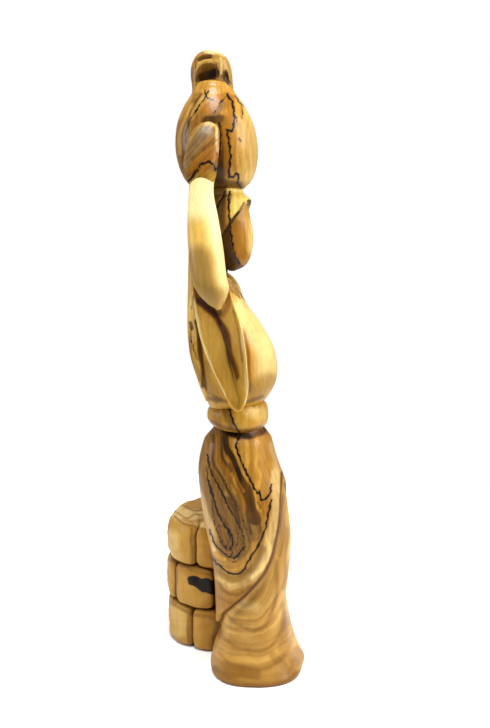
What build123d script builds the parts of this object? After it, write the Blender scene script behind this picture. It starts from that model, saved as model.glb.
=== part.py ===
"""Carved olive-wood figure of a robed woman with a water jar on her head, beside a stone well.

Millimetres. The figure faces -Y, her right side is -X, her left side is +X and +Z is up.
The origin is on the floor, under the middle of the skirt hem. The whole carving is one block
of wood; each carved form (skirt, sash, sleeve, jar, well stone...) is its own solid, and the
solids meet face to face along the carved grooves.
"""
import os
from math import cos, radians, sin

from build123d import *

os.makedirs("parts", exist_ok=True)

# ---- driving dimensions ------------------------------------------------------------------
HEM_HALF_WIDTH = 31.0        # hem of the skirt, along X
HEM_HALF_DEPTH = 26.5        # hem of the skirt, along Y
HEM_CENTRE_Y = 2.5
SKIRT_TOP = 142.0            # the skirts run up into the sash
WRAP_THICKNESS = 1.8         # how far the wrapped over-skirt stands proud
BEYOND = 45.0                # reach of cutting outlines, outside every form of the figure
CLEAR = 5.0

SASH_FRONT_Z = (137.5, 152.0)    # lower and upper edge at the front
SASH_BACK_Z = (140.0, 150.5)     # lower and upper edge at the back
SASH_CENTRE_Y = 13.0
SASH_HALF_WIDTH = 20.5
SASH_HALF_DEPTH = 17.0
# Rounding of the sash, as (share of its height, how much smaller it is there).
SASH_ROUNDING = [(0.0, 1.6), (0.22, 0.3), (0.5, 0.0), (0.78, 0.3), (1.0, 1.6)]

BODICE_TOP = 219.0
HEAD_TOP = 267.0
SCARF_THICKNESS = 2.4

JAR_BASE_Z = 269.5
JAR_BASE_Y = 23.4
JAR_LEAN = 3.2               # degrees, backwards
JAR_RADIUS = 22.4
JAR_NECK_Z = 53.0            # height of the neck above the jar's base
JAR_HEIGHT = 73.3
LIP_RADIUS = 6.9
# Outlines above the jar's base, as (radius, height).
JAR_FLANK = [(13.6, 0.0), (17.4, 3.6), (JAR_RADIUS - 0.5, 15.0), (JAR_RADIUS, 23.0), (20.4, 35.5),
             (15.6, 45.4), (9.0, JAR_NECK_Z)]
JAR_THROAT = [(6.4, JAR_NECK_Z), (4.9, JAR_NECK_Z + 6), (5.0, JAR_NECK_Z + 12),
              (LIP_RADIUS, JAR_HEIGHT - 2.4)]
LIP_CREST = (LIP_RADIUS - 0.6, JAR_HEIGHT - 0.3)
LIP_INSIDE = (LIP_RADIUS - 2.2, JAR_HEIGHT - 0.4)
DIMPLE_Z = JAR_HEIGHT - 3.0
HANDLE_TOP = JAR_HEIGHT - 3.2
HANDLE_FOOT = JAR_NECK_Z - 4.5
HANDLE_INNER = 2.0
HANDLE_OUTLINE = [(10.6, HANDLE_FOOT), (11.4, JAR_NECK_Z + 6), (10.0, JAR_NECK_Z + 13), (6.0, HANDLE_TOP)]
HANDLE_THICKNESS = 5.0
WEB_RECESS = 1.4             # hollow carved into both cheeks of each handle
WEB_REACH = 6.8              # of the hollow's middle from the jar's axis
WEB_HALF_WIDTH = 2.2
WEB_HALF_HEIGHT = 6.0

RING_CENTRE_Y = 23.6         # carrying ring under the jar
RING_BASE_Z = 264.5
RING_HEIGHT = 7.0
RING_HALF_WIDTH = 13.2
RING_HALF_DEPTH = 14.2
RING_FILLET = 2.6

NECK_BASE = (25.5, BODICE_TOP - 6, 8.6)  # centre y, z, radius
NECK_TOP = (24.5, 236.0, 7.4)

COWL_CENTRE = (0.0, 24.0, 215.5)
COWL_SLOPE = 0.55            # fall of the cowl towards the front
COWL_HALF_WIDTH = 16.5
COWL_HALF_DEPTH = 12.5
COWL_OPENING = (7.0, 6.5)
COWL_HALF_HEIGHT = 3.2
COWL_FILLET = 2.2

WELL_X = 42.0
WELL_Y = 29.0
WELL_RADIUS = 34.4
WELL_COURSES = 3
COURSE_HEIGHT = 25.3
STONES_PER_COURSE = 7
STONE_DEPTH = 11.0           # how deep the carved stones reach towards the core
STONE_FILLET = 2.6
COURSE_FIRST_JOINT = (155.0, 126.0, 160.0)   # degrees, bottom course first
WELL_DOME = 1.8              # rise of the well's closed top over the last course

# Sections as (z, centre y, half width x, half depth y).
SKIRT_SECTIONS = [
    (0.0, HEM_CENTRE_Y, HEM_HALF_WIDTH, HEM_HALF_DEPTH),
    (12.0, 3.0, 28.0, 23.0),
    (30.0, 4.6, 24.5, 20.2),
    (50.0, 5.4, 23.5, 20.8),
    (75.0, 6.6, 24.0, 22.6),
    (98.0, 9.3, 24.0, 23.4),
    (114.0, 11.6, 23.0, 22.4),
    (128.0, 12.8, 21.0, 19.0),
    (SKIRT_TOP, 13.6, 18.0, 15.2),
]
BODICE_SECTIONS = [
    (147.0, 14.5, 18.0, 14.8),
    (156.0, 13.8, 20.0, 16.6),
    (165.0, 12.4, 22.5, 20.0),
    (174.0, 12.1, 24.0, 21.0),
    (188.0, 14.6, 25.5, 18.8),
    (201.0, 18.2, 25.0, 14.8),
    (212.0, 21.3, 19.0, 10.8),
    (BODICE_TOP, 23.0, 11.0, 8.4),
]
HEAD_SECTIONS = [
    (226.3, 13.6, 2.6, 2.8),
    (229.0, 15.2, 6.6, 8.2),
    (235.0, 17.6, 9.8, 12.2),
    (244.0, 19.8, 11.8, 15.2),
    (254.0, 21.0, 12.2, 15.0),
    (262.0, 22.0, 10.8, 12.6),
    (HEAD_TOP, 23.0, 7.6, 8.6),
]
VEIL_SECTIONS = [
    (153.0, 31.0, 5.0, 2.0),
    (160.0, 32.6, 10.5, 3.2),
    (172.0, 34.6, 15.0, 4.8),
    (188.0, 36.2, 17.0, 5.0),
    (206.0, 36.4, 17.0, 5.2),
    (226.0, 35.8, 14.5, 5.6),
    (246.0, 35.0, 12.5, 6.0),
    (262.0, 34.0, 10.0, 6.4),
]

# Edge of the wrapped over-skirt, seen from the side as (y, z), waist to back.
WRAP_EDGE = [(-5.0, 139.0), (-10.1, 130.0), (-13.3, 110.0), (-11.3, 84.0), (-4.9, 62.0),
             (8.5, 47.0), (18.0, 36.0), (36.0, 26.0)]

# Edge of the head scarf round the face, seen from the side as (y, z), brow to throat.
FACE_EDGE = [(5.5, 268.0), (7.6, 260.5), (13.0, 254.0), (18.5, 246.0), (21.5, 236.0), (21.5, 222.0)]

# Right forearm from wrist to elbow: centre, axis and radius of each section.
FOREARM_SECTIONS = [
    ((-32.0, 24.6, 276.0), (-0.25, 0.0, -1.0), 5.9),
    ((-36.0, 24.6, 262.0), (-0.25, 0.0, -1.0), 6.3),
    ((-40.0, 23.9, 247.0), (-0.2, -0.08, -1.0), 7.6),
    ((-43.0, 21.4, 232.0), (-0.12, -0.18, -1.0), 9.0),
    ((-44.0, 18.6, 219.0), (-0.02, -0.2, -1.0), 8.5),
]
ELBOW = (-44.0, 18.2, 216.0)
ELBOW_RADIUS = 8.6
# Hand laid on the jar, as (z, x, y, half width x, half depth y).
HAND_SECTIONS = [
    (275.0, -32.0, 24.5, 5.0, 5.6),
    (283.0, -27.6, 25.7, 5.4, 6.8),
    (291.0, -25.6, 25.6, 5.0, 6.4),
    (296.5, -23.6, 25.2, 4.6, 4.8),
    (299.3, -21.6, 24.8, 3.0, 2.6),
]

# Right sleeve: the mouth is a hanging leaf in a plane that leans in towards the hip.
SLEEVE_MOUTH_ORIGIN = (-45.5, 16.0, 218.0)
SLEEVE_MOUTH_LEAN = 16.0     # degrees
SLEEVE_CENTRE = (-3.0, 26.0) # of the mouth outline, on its own plane
SLEEVE_MOUTH = [(12.2, 2.0), (9.8, 17.0), (4.5, 38.0), (-4.0, 57.0), (-9.0, 62.5), (-13.6, 58.0),
                (-14.6, 46.0), (-12.8, 22.0), (-7.4, 1.0), (3.0, -4.5)]
SLEEVE_HOLLOW = 9.0          # depth of the hollow behind the mouth
SLEEVE_ROOT = (-12.0, 17.0, 211.0)
SLEEVE_ROOT_SCALE = (0.72, 0.8)      # of the mouth outline, level and upright
HOLLOW_RIM_SCALE = (0.84, 0.93)
HOLLOW_FLOOR_SCALE = (0.5, 0.8)

# Left arm, bent with the hand on the hip.
LEFT_SHOULDER = (21.0, 20.0, 205.0)
LEFT_ELBOW = (38.0, 27.0, 176.0)
LEFT_WRIST = (28.5, 10.5, 161.0)
LEFT_ELBOW_RADIUS = 8.0
LEFT_WRIST_RADIUS = 5.6
LEFT_HAND_RADIUS = 6.4
LEFT_HAND_REACH = 5.0        # of the hand's middle beyond the wrist
LEFT_SLEEVE_TOP_RADIUS = 9.5
LEFT_SLEEVE_RADIUS = 11.5
LEFT_SLEEVE_END_RADIUS = 11.8


def tilt_plane(z_front, z_back, y_front, y_back):
    """Plane that passes through a front and a back height, level across X."""
    slope = (z_back - z_front) / (y_back - y_front)
    middle_y = (y_front + y_back) / 2
    return Plane(origin=(0, middle_y, (z_front + z_back) / 2), x_dir=(1, 0, 0), z_dir=(0, -slope, 1))


# ---- skirts ------------------------------------------------------------------------------
with BuildPart() as under_skirt:
    for z, centre_y, half_x, half_y in SKIRT_SECTIONS:
        with BuildSketch(Plane.XY.offset(z)):
            with Locations((0, centre_y)):
                Ellipse(half_x, half_y)
    loft()

with BuildPart() as waist_sash:
    front_y = SASH_CENTRE_Y - SASH_HALF_DEPTH
    back_y = SASH_CENTRE_Y + SASH_HALF_DEPTH
    for share, shrink in SASH_ROUNDING:
        front_z = SASH_FRONT_Z[0] + share * (SASH_FRONT_Z[1] - SASH_FRONT_Z[0])
        back_z = SASH_BACK_Z[0] + share * (SASH_BACK_Z[1] - SASH_BACK_Z[0])
        with BuildSketch(tilt_plane(front_z, back_z, front_y, back_y)):
            Ellipse(SASH_HALF_WIDTH - shrink, SASH_HALF_DEPTH - shrink)
    loft()
waist_sash.part.label = "waist_sash"
export_step(waist_sash.part, "parts/waist_sash.step")

with BuildPart() as over_skirt:
    for z, centre_y, half_x, half_y in SKIRT_SECTIONS[1:]:
        with BuildSketch(Plane.XY.offset(z)):
            with Locations((0, centre_y)):
                Ellipse(half_x + WRAP_THICKNESS, half_y + WRAP_THICKNESS)
    loft()
    with BuildSketch(Plane.YZ):
        with BuildLine():
            wrap_edge = Spline(WRAP_EDGE)
            above_waist = SKIRT_TOP + CLEAR
            Polyline(
                wrap_edge @ 1,
                (BEYOND, WRAP_EDGE[-1][1]),
                (BEYOND, above_waist),
                (WRAP_EDGE[0][0], above_waist),
                wrap_edge @ 0,
            )
        make_face()
    extrude(amount=BEYOND, both=True, mode=Mode.INTERSECT)
    add(under_skirt.part, mode=Mode.SUBTRACT)
    add(waist_sash.part, mode=Mode.SUBTRACT)
over_skirt.part.label = "over_skirt"
export_step(over_skirt.part, "parts/over_skirt.step")

with under_skirt:
    add(waist_sash.part, mode=Mode.SUBTRACT)
under_skirt.part.label = "under_skirt"
export_step(under_skirt.part, "parts/under_skirt.step")

# ---- bodice, neck and head ---------------------------------------------------------------
with BuildPart() as head:
    for z, centre_y, half_x, half_y in HEAD_SECTIONS:
        with BuildSketch(Plane.XY.offset(z)):
            with Locations((0, centre_y)):
                Ellipse(half_x, half_y)
    loft()
head.part.label = "head"
export_step(head.part, "parts/head.step")

with BuildPart() as bodice:
    for z, centre_y, half_x, half_y in BODICE_SECTIONS:
        with BuildSketch(Plane.XY.offset(z)):
            with Locations((0, centre_y)):
                Ellipse(half_x, half_y)
    loft()
    add(waist_sash.part, mode=Mode.SUBTRACT)
bodice.part.label = "bodice"
export_step(bodice.part, "parts/bodice.step")

with BuildPart() as head_scarf:
    for z, centre_y, half_x, half_y in HEAD_SECTIONS[1:]:
        with BuildSketch(Plane.XY.offset(z)):
            with Locations((0, centre_y)):
                Ellipse(half_x + SCARF_THICKNESS, half_y + SCARF_THICKNESS)
    loft()
    with BuildSketch(Plane.YZ):
        with BuildLine():
            face_edge = Spline(FACE_EDGE)
            Polyline(
                face_edge @ 1,
                (BEYOND, FACE_EDGE[-1][1]),
                (BEYOND, FACE_EDGE[0][1]),
                face_edge @ 0,
            )
        make_face()
    extrude(amount=BEYOND, both=True, mode=Mode.INTERSECT)
    add(head.part, mode=Mode.SUBTRACT)
head_scarf.part.label = "head_scarf"
export_step(head_scarf.part, "parts/head_scarf.step")

with BuildPart() as neck:
    for centre_y, z, radius in (NECK_BASE, NECK_TOP):
        with BuildSketch(Plane.XY.offset(z)):
            with Locations((0, centre_y)):
                Circle(radius)
    loft()
    for neighbour in (head, head_scarf, bodice):
        add(neighbour.part, mode=Mode.SUBTRACT)
neck.part.label = "neck"
export_step(neck.part, "parts/neck.step")

# ---- scarf: cowl round the neck and the long fall down the back -----------------------------
with BuildPart() as scarf_cowl:
    with BuildSketch(Plane(origin=COWL_CENTRE, x_dir=(1, 0, 0), z_dir=(0, -COWL_SLOPE, 1))):
        Ellipse(COWL_HALF_WIDTH, COWL_HALF_DEPTH)
        Ellipse(*COWL_OPENING, mode=Mode.SUBTRACT)
    extrude(amount=COWL_HALF_HEIGHT, both=True)
    fillet(scarf_cowl.edges(), COWL_FILLET)
    for neighbour in (head, head_scarf, neck, bodice):
        add(neighbour.part, mode=Mode.SUBTRACT)
scarf_cowl.part.label = "scarf_cowl"
export_step(scarf_cowl.part, "parts/scarf_cowl.step")

with BuildPart() as back_veil:
    for z, centre_y, half_x, half_y in VEIL_SECTIONS:
        with BuildSketch(Plane.XY.offset(z)):
            with Locations((0, centre_y)):
                Ellipse(half_x, half_y)
    loft()
    for neighbour in (head, head_scarf, neck, bodice, scarf_cowl, waist_sash):
        add(neighbour.part, mode=Mode.SUBTRACT)
back_veil.part.label = "back_veil"
export_step(back_veil.part, "parts/back_veil.step")

# ---- water jar on its carrying ring ----------------------------------------------------------
jar_frame = Plane(
    origin=(0, JAR_BASE_Y, JAR_BASE_Z),
    x_dir=(1, 0, 0),
    z_dir=(0, sin(radians(JAR_LEAN)), cos(radians(JAR_LEAN))),
)
jar_side = Plane(origin=jar_frame.origin, x_dir=jar_frame.y_dir, z_dir=jar_frame.x_dir)

with BuildPart() as jar_body:
    with BuildSketch(jar_side):
        with BuildLine():
            flank = Spline(JAR_FLANK)
            Polyline(flank @ 1, (0, JAR_NECK_Z), (0, 0), flank @ 0)
        make_face()
    revolve(axis=Axis(jar_frame.origin, jar_frame.z_dir))
jar_body.part.label = "jar_body"
export_step(jar_body.part, "parts/jar_body.step")

with BuildPart() as jar_neck:
    with BuildSketch(jar_side):
        with BuildLine():
            throat = Spline(JAR_THROAT)
            lip = ThreePointArc(throat @ 1, LIP_CREST, LIP_INSIDE)
            dimple = Line(lip @ 1, (0, DIMPLE_Z))
            Polyline(dimple @ 1, (0, JAR_NECK_Z), throat @ 0)
        make_face()
    revolve(axis=Axis(jar_frame.origin, jar_frame.z_dir))
jar_neck.part.label = "jar_neck"
export_step(jar_neck.part, "parts/jar_neck.step")

for name, side in (("jar_handle_front", -1), ("jar_handle_back", 1)):
    with BuildPart() as jar_handle:
        with BuildSketch(jar_side):
            with BuildLine():
                outer = Spline([(side * reach, height) for reach, height in HANDLE_OUTLINE])
                inner_x = side * HANDLE_INNER
                Polyline(outer @ 1, (inner_x, HANDLE_TOP), (inner_x, HANDLE_FOOT), outer @ 0)
            make_face()
        extrude(amount=HANDLE_THICKNESS / 2, both=True)
        for cheek in (-1, 1):
            with BuildSketch(jar_side.offset(cheek * HANDLE_THICKNESS / 2)):
                with Locations((side * WEB_REACH, JAR_NECK_Z + CLEAR)):
                    Ellipse(WEB_HALF_WIDTH, WEB_HALF_HEIGHT)
            extrude(amount=-cheek * WEB_RECESS, mode=Mode.SUBTRACT)
        add(jar_body.part, mode=Mode.SUBTRACT)
        add(jar_neck.part, mode=Mode.SUBTRACT)
    jar_handle.part.label = name
    export_step(jar_handle.part, f"parts/{name}.step")

with BuildPart() as head_ring:
    with BuildSketch(Plane.XY.offset(RING_BASE_Z)):
        with Locations((0, RING_CENTRE_Y)):
            Ellipse(RING_HALF_WIDTH, RING_HALF_DEPTH)
    extrude(amount=RING_HEIGHT)
    fillet(head_ring.edges(), RING_FILLET)
    for neighbour in (jar_body, head_scarf, head, back_veil):
        add(neighbour.part, mode=Mode.SUBTRACT)
head_ring.part.label = "head_ring"
export_step(head_ring.part, "parts/head_ring.step")

# ---- raised right arm ---------------------------------------------------------------------------
with BuildPart() as right_hand:
    for z, x, y, half_x, half_y in HAND_SECTIONS:
        with BuildSketch(Plane.XY.offset(z)):
            with Locations((x, y)):
                Ellipse(half_x, half_y)
    loft()
    add(jar_body.part, mode=Mode.SUBTRACT)
right_hand.part.label = "right_hand"
export_step(right_hand.part, "parts/right_hand.step")

with BuildPart() as right_forearm:
    for centre, axis_dir, radius in FOREARM_SECTIONS:
        with BuildSketch(Plane(origin=centre, x_dir=(0, 1, 0), z_dir=axis_dir)):
            Circle(radius)
    loft()
    with Locations(ELBOW):
        Sphere(ELBOW_RADIUS)
    add(right_hand.part, mode=Mode.SUBTRACT)
right_forearm.part.label = "right_forearm"
export_step(right_forearm.part, "parts/right_forearm.step")

mouth_plane = Plane(
    origin=SLEEVE_MOUTH_ORIGIN,
    x_dir=(0, 1, 0),
    z_dir=(-cos(radians(SLEEVE_MOUTH_LEAN)), 0, -sin(radians(SLEEVE_MOUTH_LEAN))),
)
root_plane = Plane(origin=SLEEVE_ROOT, x_dir=(0, 1, 0), z_dir=(-1, 0, 0))
rim_plane = mouth_plane.offset(1.0)
hollow_plane = mouth_plane.offset(-SLEEVE_HOLLOW)


def leaf(plane, scale_u, scale_v):
    """Hanging-leaf outline of the sleeve on a plane, scaled about the sleeve's centre."""
    centre_u, centre_v = SLEEVE_CENTRE
    points = []
    for u, v in SLEEVE_MOUTH:
        points.append((centre_u + scale_u * (u - centre_u), centre_v + scale_v * (v - centre_v)))
    with BuildSketch(plane) as outline:
        with BuildLine():
            Spline(points, periodic=True)
        make_face()
    return outline.sketch


with BuildPart() as right_sleeve:
    loft(sections=[leaf(mouth_plane, 1.0, 1.0), leaf(root_plane, *SLEEVE_ROOT_SCALE)])
    hollow_rim = leaf(rim_plane, *HOLLOW_RIM_SCALE)
    hollow_floor = leaf(hollow_plane, *HOLLOW_FLOOR_SCALE)
    loft(sections=[hollow_rim, hollow_floor], mode=Mode.SUBTRACT)
    for neighbour in (right_forearm, bodice, waist_sash, over_skirt, scarf_cowl, back_veil):
        add(neighbour.part, mode=Mode.SUBTRACT)
right_sleeve.part.label = "right_sleeve"
export_step(right_sleeve.part, "parts/right_sleeve.step")

# ---- left arm, hand on hip ---------------------------------------------------------------------
with BuildPart() as left_forearm:
    reach = Vector(*LEFT_WRIST) - Vector(*LEFT_ELBOW)
    with BuildSketch(Plane(origin=LEFT_ELBOW, z_dir=reach)):
        Circle(LEFT_ELBOW_RADIUS)
    with BuildSketch(Plane(origin=LEFT_WRIST, z_dir=reach)):
        Circle(LEFT_WRIST_RADIUS)
    loft()
    for neighbour in (bodice, waist_sash):
        add(neighbour.part, mode=Mode.SUBTRACT)
left_forearm.part.label = "left_forearm"
export_step(left_forearm.part, "parts/left_forearm.step")

with BuildPart() as left_hand:
    with Locations(Vector(*LEFT_WRIST) + reach.normalized() * LEFT_HAND_REACH):
        Sphere(LEFT_HAND_RADIUS)
    for neighbour in (left_forearm, bodice, waist_sash, over_skirt, under_skirt):
        add(neighbour.part, mode=Mode.SUBTRACT)
left_hand.part.label = "left_hand"
export_step(left_hand.part, "parts/left_hand.step")

with BuildPart() as left_sleeve:
    drop = Vector(*LEFT_ELBOW) - Vector(*LEFT_SHOULDER)
    with BuildSketch(Plane(origin=LEFT_SHOULDER, z_dir=drop)):
        Circle(LEFT_SLEEVE_TOP_RADIUS)
    with BuildSketch(Plane(origin=LEFT_ELBOW, z_dir=drop)):
        Circle(LEFT_SLEEVE_RADIUS)
    loft()
    with Locations(LEFT_ELBOW):
        Sphere(LEFT_SLEEVE_END_RADIUS)
    for neighbour in (left_forearm, bodice, waist_sash, over_skirt, scarf_cowl, back_veil):
        add(neighbour.part, mode=Mode.SUBTRACT)
left_sleeve.part.label = "left_sleeve"
export_step(left_sleeve.part, "parts/left_sleeve.step")

# ---- stone well -------------------------------------------------------------------------------
with BuildPart() as well_core:
    with BuildSketch(Plane.XY):
        with Locations((WELL_X, WELL_Y)):
            Circle(WELL_RADIUS - STONE_DEPTH)
    extrude(amount=WELL_COURSES * COURSE_HEIGHT + WELL_DOME)
    fillet(well_core.faces().sort_by(Axis.Z)[-1].edges(), WELL_DOME)
    for neighbour in (under_skirt, over_skirt):
        add(neighbour.part, mode=Mode.SUBTRACT)
well_core.part.label = "well_core"
export_step(well_core.part, "parts/well_core.step")

stone_angle = 360.0 / STONES_PER_COURSE
for course in range(WELL_COURSES):
    for position in range(STONES_PER_COURSE):
        start = COURSE_FIRST_JOINT[course] + position * stone_angle
        with BuildPart() as well_stone:
            with BuildSketch(Plane.XZ):
                with BuildLine():
                    inner = WELL_RADIUS - STONE_DEPTH
                    low = course * COURSE_HEIGHT
                    high = low + COURSE_HEIGHT
                    Polyline(
                        (inner, low), (WELL_RADIUS, low), (WELL_RADIUS, high), (inner, high), close=True
                    )
                make_face()
            revolve(axis=Axis.Z, revolution_arc=stone_angle)
            outer_face = well_stone.faces().filter_by(GeomType.CYLINDER).sort_by(SortBy.AREA)[-1]
            fillet(outer_face.edges(), STONE_FILLET)
        stone = Location((WELL_X, WELL_Y, 0), (0, 0, start)) * well_stone.part
        with BuildPart() as placed_stone:
            add(stone)
            for neighbour in (under_skirt, over_skirt, left_sleeve):
                add(neighbour.part, mode=Mode.SUBTRACT)
        name = f"well_stone_{course + 1}_{position + 1}"
        placed_stone.part.label = name
        export_step(placed_stone.part, f"parts/{name}.step")
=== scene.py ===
"""Looks of the carved olive-wood woman with a water jar, beside a stone well.

Shapes are worked out in millimetres and turned into metres as each mesh is made. +Z is up, the
figure faces -Y and her right side, which the camera sees, is -X. Outlines and grain figures are
given where they appear on the plane X = 0, along the sight lines from the camera.
"""

import bmesh
import bpy
import numpy as np
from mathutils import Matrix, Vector


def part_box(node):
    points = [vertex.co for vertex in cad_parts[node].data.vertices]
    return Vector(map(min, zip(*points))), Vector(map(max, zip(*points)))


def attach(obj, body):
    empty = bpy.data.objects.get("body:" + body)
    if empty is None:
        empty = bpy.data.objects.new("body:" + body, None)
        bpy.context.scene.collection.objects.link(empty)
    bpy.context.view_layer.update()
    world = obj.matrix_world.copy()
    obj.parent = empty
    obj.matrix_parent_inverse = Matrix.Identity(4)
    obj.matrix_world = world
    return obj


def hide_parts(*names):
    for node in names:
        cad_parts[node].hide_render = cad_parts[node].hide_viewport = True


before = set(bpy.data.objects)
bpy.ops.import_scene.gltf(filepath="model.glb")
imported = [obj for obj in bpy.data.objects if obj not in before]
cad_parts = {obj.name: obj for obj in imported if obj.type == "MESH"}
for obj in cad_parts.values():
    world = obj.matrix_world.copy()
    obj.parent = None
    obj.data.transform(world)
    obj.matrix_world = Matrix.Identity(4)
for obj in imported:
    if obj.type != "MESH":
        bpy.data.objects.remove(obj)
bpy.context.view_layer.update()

MM = 0.001
EYE = np.array((-485.2, -59.2, 230.0))          # camera, mm
SIGHT = Vector((0.98366, 0.13825, -0.11494))    # 8 degrees off +X, 6.6 degrees down
LENS = 43.76
SENSOR = 36.0               # mm, the long side of the frame
AMBIENT = 0.33              # light from the white room, where the backdrop is 1

# Wood colours, scene linear.
CREAM = (1.0, 0.95, 0.66)
BUTTER = (1.0, 0.76, 0.28)
SAND = (0.80, 0.62, 0.40)
GOLD = (0.85, 0.55, 0.13)
AMBER = (0.78, 0.48, 0.10)
TAN = (0.60, 0.34, 0.075)
HONEY = (0.62, 0.36, 0.06)
PALE = (0.97, 0.80, 0.50)
OLIVE = (0.33, 0.205, 0.065)
ORANGE = (0.38, 0.155, 0.012)
UMBER = (0.24, 0.115, 0.026)
LIGHT = (0.72, 0.47, 0.17)
BROWN = (0.055, 0.022, 0.004)
GREY = (0.26, 0.145, 0.040)
DARK = (0.014, 0.006, 0.0025)
FAWN = (0.62, 0.42, 0.19)
STRAW = (0.66, 0.40, 0.09)
ARM_SHADE = (0.38, 0.235, 0.08)
DRAB = (0.30, 0.175, 0.07)
DULL = (0.46, 0.27, 0.08)
DUSK = (0.40, 0.23, 0.07)
SMOKE = (0.27, 0.18, 0.085)
ASH = (0.22, 0.155, 0.10)
GROOVE_SHADE = (0.17, 0.06, 0.008)
COFFEE = (0.04, 0.016, 0.004)


def placed(name, data):
    """A new object of this name and data, in the scene."""
    obj = bpy.data.objects.new(name, data)
    bpy.context.scene.collection.objects.link(obj)
    return obj


def cad(node):
    """Lowest and highest corner of a CAD node, in millimetres."""
    low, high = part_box(node)
    return np.array(low) / MM, np.array(high) / MM


# ---- curves and fields
def follow(rows, stations):
    """Smooth curve through rows of (station, value, value...), read at the stations given."""
    rows = np.array(rows, float)
    at, values = rows[:, 0], rows[:, 1:]
    slope = np.gradient(values, at, axis=0)
    low = np.clip(np.searchsorted(at, stations) - 1, 0, len(at) - 2)
    gap = (at[low + 1] - at[low])[:, None]
    f = np.clip((stations - at[low])[:, None] / gap, 0, 1)
    start = values[low] * (1 + 2 * f) * (1 - f) ** 2 + slope[low] * gap * f * (1 - f) ** 2
    end = values[low + 1] * f**2 * (3 - 2 * f) + slope[low + 1] * gap * f**2 * (f - 1)
    return start + end


def fade(values, full, none):
    """1 at full, 0 at none, smooth between."""
    t = np.clip((values - none) / (full - none), 0, 1)
    return t * t * (3 - 2 * t)


def bump(values, centre, width):
    """1 at the centre, falling off smoothly on both sides."""
    return np.exp(-(((values - centre) / width) ** 2))


def distance(points, line):
    """Distance of each 2-D point from a polyline."""
    line = np.array(line, float)
    best = np.full(len(points), 1e9)
    for a, b in zip(line[:-1], line[1:]):
        run = b - a
        t = np.clip(((points - a) @ run) / max(run @ run, 1e-9), 0, 1)
        best = np.minimum(best, np.linalg.norm(points - a - t[:, None] * run, axis=1))
    return best


def curved(points, steps=6):
    """The same line with its corners rounded by a smooth curve through the points."""
    rows = [(i, *p) for i, p in enumerate(points)]
    return follow(rows, np.linspace(0, len(points) - 1, steps * (len(points) - 1) + 1))


def seen(points):
    """(y, z) where the sight line through each point meets the plane X = 0."""
    share = -EYE[0] / (points[:, 0] - EYE[0])
    return EYE[1:] + (points[:, 1:] - EYE[1:]) * share[:, None]


def on_sight(y, z, x):
    """The point at depth x that is seen at (y, z) on the plane X = 0."""
    share = (np.asarray(x) - EYE[0]) / -EYE[0]
    return np.stack([np.broadcast_to(x, np.shape(y)),
                     EYE[1] + (np.asarray(y) - EYE[1]) * share,
                     EYE[2] + (np.asarray(z) - EYE[2]) * share], -1)


def near_side(points):
    """Mirrors the far half onto the half that the camera sees."""
    return np.column_stack([-np.abs(points[:, 0]), points[:, 1], points[:, 2]])


def full_turn(count):
    return np.linspace(0, 2 * np.pi, count, endpoint=False)


def squarish(turn, square):
    """Cosine and sine of a turn: a circle where square is 2, nearer a square above that."""
    c, s = np.cos(turn), np.sin(turn)
    return np.sign(c) * np.abs(c) ** (2 / square), np.sign(s) * np.abs(s) ** (2 / square)


# ---- meshes
def ring_grid(rows, z_values, around=200, square=2.0):
    """Rings from rows of (z, front y, back y, half width x), as an array of rings of points."""
    front, back, half = follow(rows, z_values).T
    c, s = squarish(full_turn(around), square)
    x = half[:, None] * c
    y = (front + back)[:, None] / 2 + (back - front)[:, None] / 2 * s
    z = np.broadcast_to(z_values[:, None], x.shape)
    return np.stack([x, y, z], -1)


def round_rows(profile, y, z=0):
    """Rows for ring_grid from (height above z, radius), round an upright axis at y."""
    return [(z + height, y - radius, y + radius, radius) for height, radius in profile]


def loft(rows, count, around=200, square=2.0):
    """Evenly spaced rings from the first row to the last."""
    return ring_grid(rows, np.linspace(rows[0][0], rows[-1][0], count), around, square)


def domed(grid, start=0.0, end=0.0, steps=5):
    """Closes the ends of a grid of rings with rounded caps of the given heights."""
    def cap(ring, before, height):
        centre = ring.mean(0)
        out = centre - before.mean(0)
        out = out / max(np.linalg.norm(out), 1e-9)
        turn = np.linspace(0, np.pi / 2, steps + 1)[1:-1]
        return [centre + (ring - centre) * np.cos(t) + out * height * np.sin(t) for t in turn]

    first = cap(grid[0], grid[1], start) if start else []
    last = cap(grid[-1], grid[-2], end) if end else []
    return np.array(first[::-1] + list(grid) + last)


def band_faces(count, around, loop):
    """Quads between neighbouring rings, and from the last ring to the first in a loop."""
    col = np.arange(around)
    nxt = (col + 1) % around
    faces = []
    for r in range(count if loop else count - 1):
        a, b = r * around, (r + 1) % count * around
        faces += np.column_stack([a + col, a + nxt, b + nxt, b + col]).tolist()
    return faces


def end_fans(count, around):
    """Triangles from each end ring to the point in its middle."""
    start, end, last = count * around, count * around + 1, (count - 1) * around
    pairs = [(i, (i + 1) % around) for i in range(around)]
    return [(start, j, i) for i, j in pairs] + [(end, last + i, last + j) for i, j in pairs]


def piece(name, grid, slot, figure, sculpt=None, nodes=(), loop=False):
    """A closed mesh from a grid of rings. It stands for the CAD node of its name, or for nodes."""
    count, around = grid.shape[:2]
    points = grid.reshape(-1, 3)
    if sculpt:
        points = sculpt(points)
    faces = band_faces(count, around, loop)
    if not loop:
        rings = points.reshape(count, around, 3)
        points = np.vstack([points, rings[0].mean(0), rings[-1].mean(0)])
        faces += end_fans(count, around)
    finished(name, points, faces, nodes or [name], slot, figure)


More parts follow.
